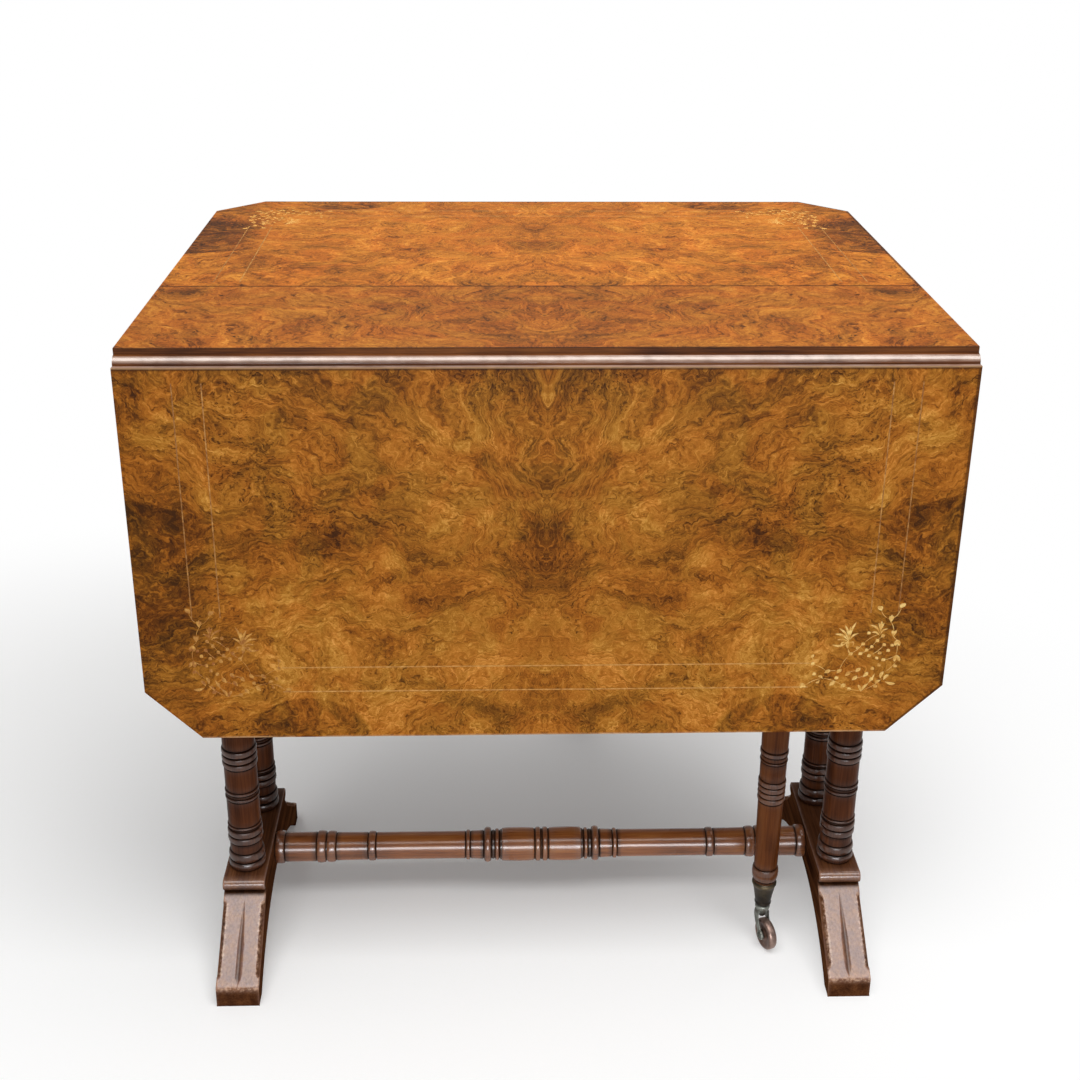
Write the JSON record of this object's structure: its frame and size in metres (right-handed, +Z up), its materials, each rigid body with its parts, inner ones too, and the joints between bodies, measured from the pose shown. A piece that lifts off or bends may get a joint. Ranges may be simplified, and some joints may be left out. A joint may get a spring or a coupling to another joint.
{
  "type": "sutherland table",
  "caption": "Sutherland drop-leaf table: narrow veneered top, rule-jointed leaves with canted corners, turned trestle ends with a stretcher, and swinging gate legs on brass casters.",
  "frame": {"origin": "on the floor, at the middle of the whole table's footprint in the rest pose", "axes": "+X along the top, +Y from the hanging leaf to the raised leaf, +Z up"},
  "size_m": [0.83, 0.6834, 0.738],
  "materials": {
    "burr_veneer": "french polished burr",
    "boxwood": "polished boxwood",
    "walnut_boards": "polished walnut",
    "walnut_frame": "plain walnut",
    "walnut_feet": "worn polished walnut",
    "walnut_turned": "polished walnut",
    "hinge_brass": "aged brass",
    "caster_brass": "darkened brass",
    "steel": "aged steel"
  },
  "bodies": {
    "frame": {"top_board": "walnut_boards", "top_veneer": "burr_veneer", "left_bearer": "walnut_frame", "right_bearer": "walnut_frame", "front_rail": "walnut_frame", "rear_rail": "walnut_frame", "left_foot": "walnut_feet", "right_foot": "walnut_feet", "stretcher": "walnut_turned", "bearer_screws": "steel", "left_front_post": "walnut_turned", "left_rear_post": "walnut_turned", "right_front_post": "walnut_turned", "right_rear_post": "walnut_turned", "front_left_hinge_top_plate": "hinge_brass", "front_right_hinge_top_plate": "hinge_brass", "front_left_hinge_pin": "steel", "front_right_hinge_pin": "steel", "front_hinge_top_screws": "steel", "front_gate_block": "walnut_frame", "front_gate_pin": "steel", "front_block_screws": "steel", "rear_left_hinge_top_plate": "hinge_brass", "rear_right_hinge_top_plate": "hinge_brass", "rear_left_hinge_pin": "steel", "rear_right_hinge_pin": "steel", "rear_hinge_top_screws": "steel", "rear_gate_block": "walnut_frame", "rear_gate_pin": "steel", "rear_block_screws": "steel"},
    "front_leaf": {"front_leaf_board": "walnut_boards", "front_leaf_veneer": "burr_veneer", "front_leaf_stringing": "boxwood", "front_left_hinge_leaf_plate": "hinge_brass", "front_right_hinge_leaf_plate": "hinge_brass", "front_hinge_leaf_screws": "steel"},
    "rear_leaf": {"rear_leaf_board": "walnut_boards", "rear_leaf_veneer": "burr_veneer", "rear_leaf_stringing": "boxwood", "rear_left_hinge_leaf_plate": "hinge_brass", "rear_right_hinge_leaf_plate": "hinge_brass", "rear_hinge_leaf_screws": "steel"},
    "front_gate": {"front_gate_arm": "walnut_frame", "front_gate_leg": "walnut_turned", "front_caster_cup": "caster_brass"},
    "rear_gate": {"rear_gate_arm": "walnut_frame", "rear_gate_leg": "walnut_turned", "rear_caster_cup": "caster_brass"},
    "front_caster": {"front_caster_fork": "caster_brass", "front_caster_axle": "steel"},
    "rear_caster": {"rear_caster_fork": "caster_brass", "rear_caster_axle": "steel"},
    "front_wheel": {"front_caster_wheel": "caster_brass"},
    "rear_wheel": {"rear_caster_wheel": "caster_brass"}
  },
  "joints": [
    {"name": "front_leaf_hinge", "type": "hinge", "parent": "frame", "child": "front_leaf", "pos_m": [0, -0.27935, 0.7235], "axis": [-1, 0, 0], "range_deg": [0, 90]},
    {"name": "rear_leaf_hinge", "type": "hinge", "parent": "frame", "child": "rear_leaf", "pos_m": [0, -0.06835, 0.7235], "axis": [1, 0, 0], "range_deg": [0, 1.5]},
    {"name": "front_gate_pivot", "type": "hinge", "parent": "frame", "child": "front_gate", "pos_m": [-0.0664, -0.24785, 0.702], "axis": [0, 0, -1], "range_deg": [0, 2]},
    {"name": "rear_gate_pivot", "type": "hinge", "parent": "frame", "child": "rear_gate", "pos_m": [0.0664, -0.09985, 0.702], "axis": [0, 0, 1], "range_deg": [0, 90]},
    {"name": "front_caster_swivel", "type": "hinge", "parent": "front_gate", "child": "front_caster", "pos_m": [0.2536, -0.24785, 0.053], "axis": [0, 0, 1], "continuous": true},
    {"name": "rear_caster_swivel", "type": "hinge", "parent": "rear_gate", "child": "rear_caster", "pos_m": [0.0664, 0.22015, 0.053], "axis": [0, 0, 1], "continuous": true},
    {"name": "front_wheel_axle", "type": "hinge", "parent": "front_caster", "child": "front_wheel", "pos_m": [0.2577, -0.25913, 0.018], "axis": [0.9397, 0.342, 0], "continuous": true},
    {"name": "rear_wheel_axle", "type": "hinge", "parent": "rear_caster", "child": "rear_wheel", "pos_m": [0.05552, 0.21508, 0.018], "axis": [0.4226, -0.9063, 0], "continuous": true}
  ]
}
